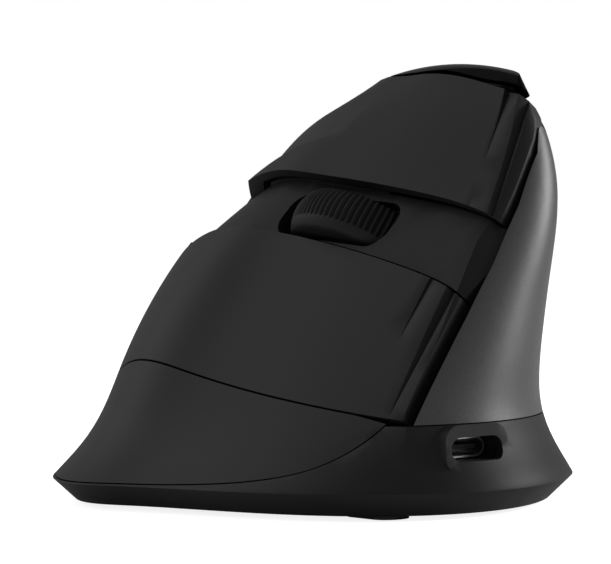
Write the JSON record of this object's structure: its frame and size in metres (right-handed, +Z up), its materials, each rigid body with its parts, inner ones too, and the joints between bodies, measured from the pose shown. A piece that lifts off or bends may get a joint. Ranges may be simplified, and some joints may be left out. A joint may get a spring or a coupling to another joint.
{
  "type": "ergonomic mouse",
  "caption": "Upright wireless mouse for the right hand, with two finger buttons, a ribbed scroll wheel, two thumb buttons and a charging port.",
  "frame": {"origin": "on the floor, under the middle of the whole mouse", "axes": "+Z up; -Y towards the nose with the charging port; +Y towards the palm end; +X towards the thumb side; -X towards the sloping finger side"},
  "size_m": [0.0756, 0.1108, 0.0708],
  "materials": {
    "black_plastic": "fine satin texture, near black",
    "strip_plastic": "fine satin texture, near black",
    "silver_coat": "satin metallic grey coat",
    "gloss_black": "polished black",
    "slippery_plastic": "low-friction dark grey plastic",
    "tyre_rubber": "matte black rubber",
    "wheel_plastic": "moulded black",
    "cradle_plastic": "natural white moulding",
    "steel": "bright steel",
    "switch_plastic": "moulded black",
    "plunger_plastic": "moulded red",
    "board_laminate": "green solder mask on laminate",
    "chip_plastic": "moulded black",
    "clear_plastic": "clear moulded lens",
    "battery_foil": "satin foil pouch"
  },
  "bodies": {
    "mouse_body": {"base_screws": "steel", "base_shell": "black_plastic", "battery": "battery_foil", "button_board": "board_laminate", "button_board_screws": "steel", "button_frame": "strip_plastic", "click_switch": "switch_plastic", "glide_feet": "slippery_plastic", "lower_switch_case": "switch_plastic", "main_board": "board_laminate", "main_board_chips": "chip_plastic", "main_board_screws": "steel", "mode_switch": "switch_plastic", "optical_sensor": "chip_plastic", "palm_shell": "black_plastic", "port_shell": "steel", "port_tongue": "chip_plastic", "power_switch_case": "steel", "ridge_cap": "gloss_black", "sensor_lens": "clear_plastic", "side_shelf": "black_plastic", "thumb_board": "board_laminate", "thumb_cover": "silver_coat", "thumb_switches": "switch_plastic", "upper_switch_case": "switch_plastic", "wheel_spring": "steel"},
    "upper_button_arm": {"upper_button": "black_plastic"},
    "lower_button_arm": {"lower_button": "black_plastic"},
    "upper_plunger": {"upper_switch_plunger": "plunger_plastic"},
    "lower_plunger": {"lower_switch_plunger": "plunger_plastic"},
    "wheel_carrier": {"wheel_cradle": "cradle_plastic", "scroll_encoder": "switch_plastic"},
    "wheel": {"wheel_tyre": "tyre_rubber", "wheel_hub": "wheel_plastic", "wheel_axle": "steel"},
    "forward_key": {"forward_button": "gloss_black"},
    "back_key": {"back_button": "gloss_black"},
    "mode_key": {"mode_button": "black_plastic"},
    "power_key": {"power_slider": "black_plastic"}
  },
  "joints": [
    {"name": "upper_button_press", "type": "hinge", "parent": "mouse_body", "child": "upper_button_arm", "pos_m": [0.00339, 0.02368, 0.05246], "axis": [0.5616, 0.1235, 0.8181], "range_deg": [0, 0.6], "stiffness_Nm_per_rad": 3, "springref_deg": -0.23},
    {"name": "lower_button_press", "type": "hinge", "parent": "mouse_body", "child": "lower_button_arm", "pos_m": [-0.00603, 0.03389, 0.02683], "axis": [0.5616, 0.1235, 0.8181], "range_deg": [0, 0.6], "stiffness_Nm_per_rad": 3, "springref_deg": -0.23},
    {"name": "upper_plunger_slide", "type": "slide", "parent": "mouse_body", "child": "upper_plunger", "axis": [0.7991, 0.1757, -0.575], "range_m": [0, 0.0008]},
    {"name": "lower_plunger_slide", "type": "slide", "parent": "mouse_body", "child": "lower_plunger", "axis": [0.7991, 0.1757, -0.575], "range_m": [0, 0.0008]},
    {"name": "wheel_click", "type": "slide", "parent": "mouse_body", "child": "wheel_carrier", "axis": [0.7991, 0.1757, -0.575], "range_m": [0, 0.0005], "stiffness_N_per_m": 2000, "springref_m": -0.0001},
    {"name": "wheel_spin", "type": "hinge", "parent": "wheel_carrier", "child": "wheel", "pos_m": [0.00725, -0.01029, 0.041], "axis": [0.5846, -0.0033, 0.8113], "continuous": true},
    {"name": "forward_button_press", "type": "slide", "parent": "mouse_body", "child": "forward_key", "axis": [-1, 0, 0], "range_m": [0, 0.0005], "stiffness_N_per_m": 1200, "springref_m": -0.0001},
    {"name": "back_button_press", "type": "slide", "parent": "mouse_body", "child": "back_key", "axis": [-1, 0, 0], "range_m": [0, 0.0005], "stiffness_N_per_m": 1200, "springref_m": -0.0001},
    {"name": "mode_button_press", "type": "slide", "parent": "mouse_body", "child": "mode_key", "axis": [0, 0, 1], "range_m": [0, 0.0004], "stiffness_N_per_m": 1500, "springref_m": -0.0001},
    {"name": "power_switch_slide", "type": "slide", "parent": "mouse_body", "child": "power_key", "axis": [1, 0, 0], "range_m": [0, 0.0025]}
  ],
  "couplings": [
    {"joint": "upper_plunger_slide", "follows": "upper_button_press", "m_per_rad": 0.0576},
    {"joint": "lower_plunger_slide", "follows": "lower_button_press", "m_per_rad": 0.0696}
  ]
}
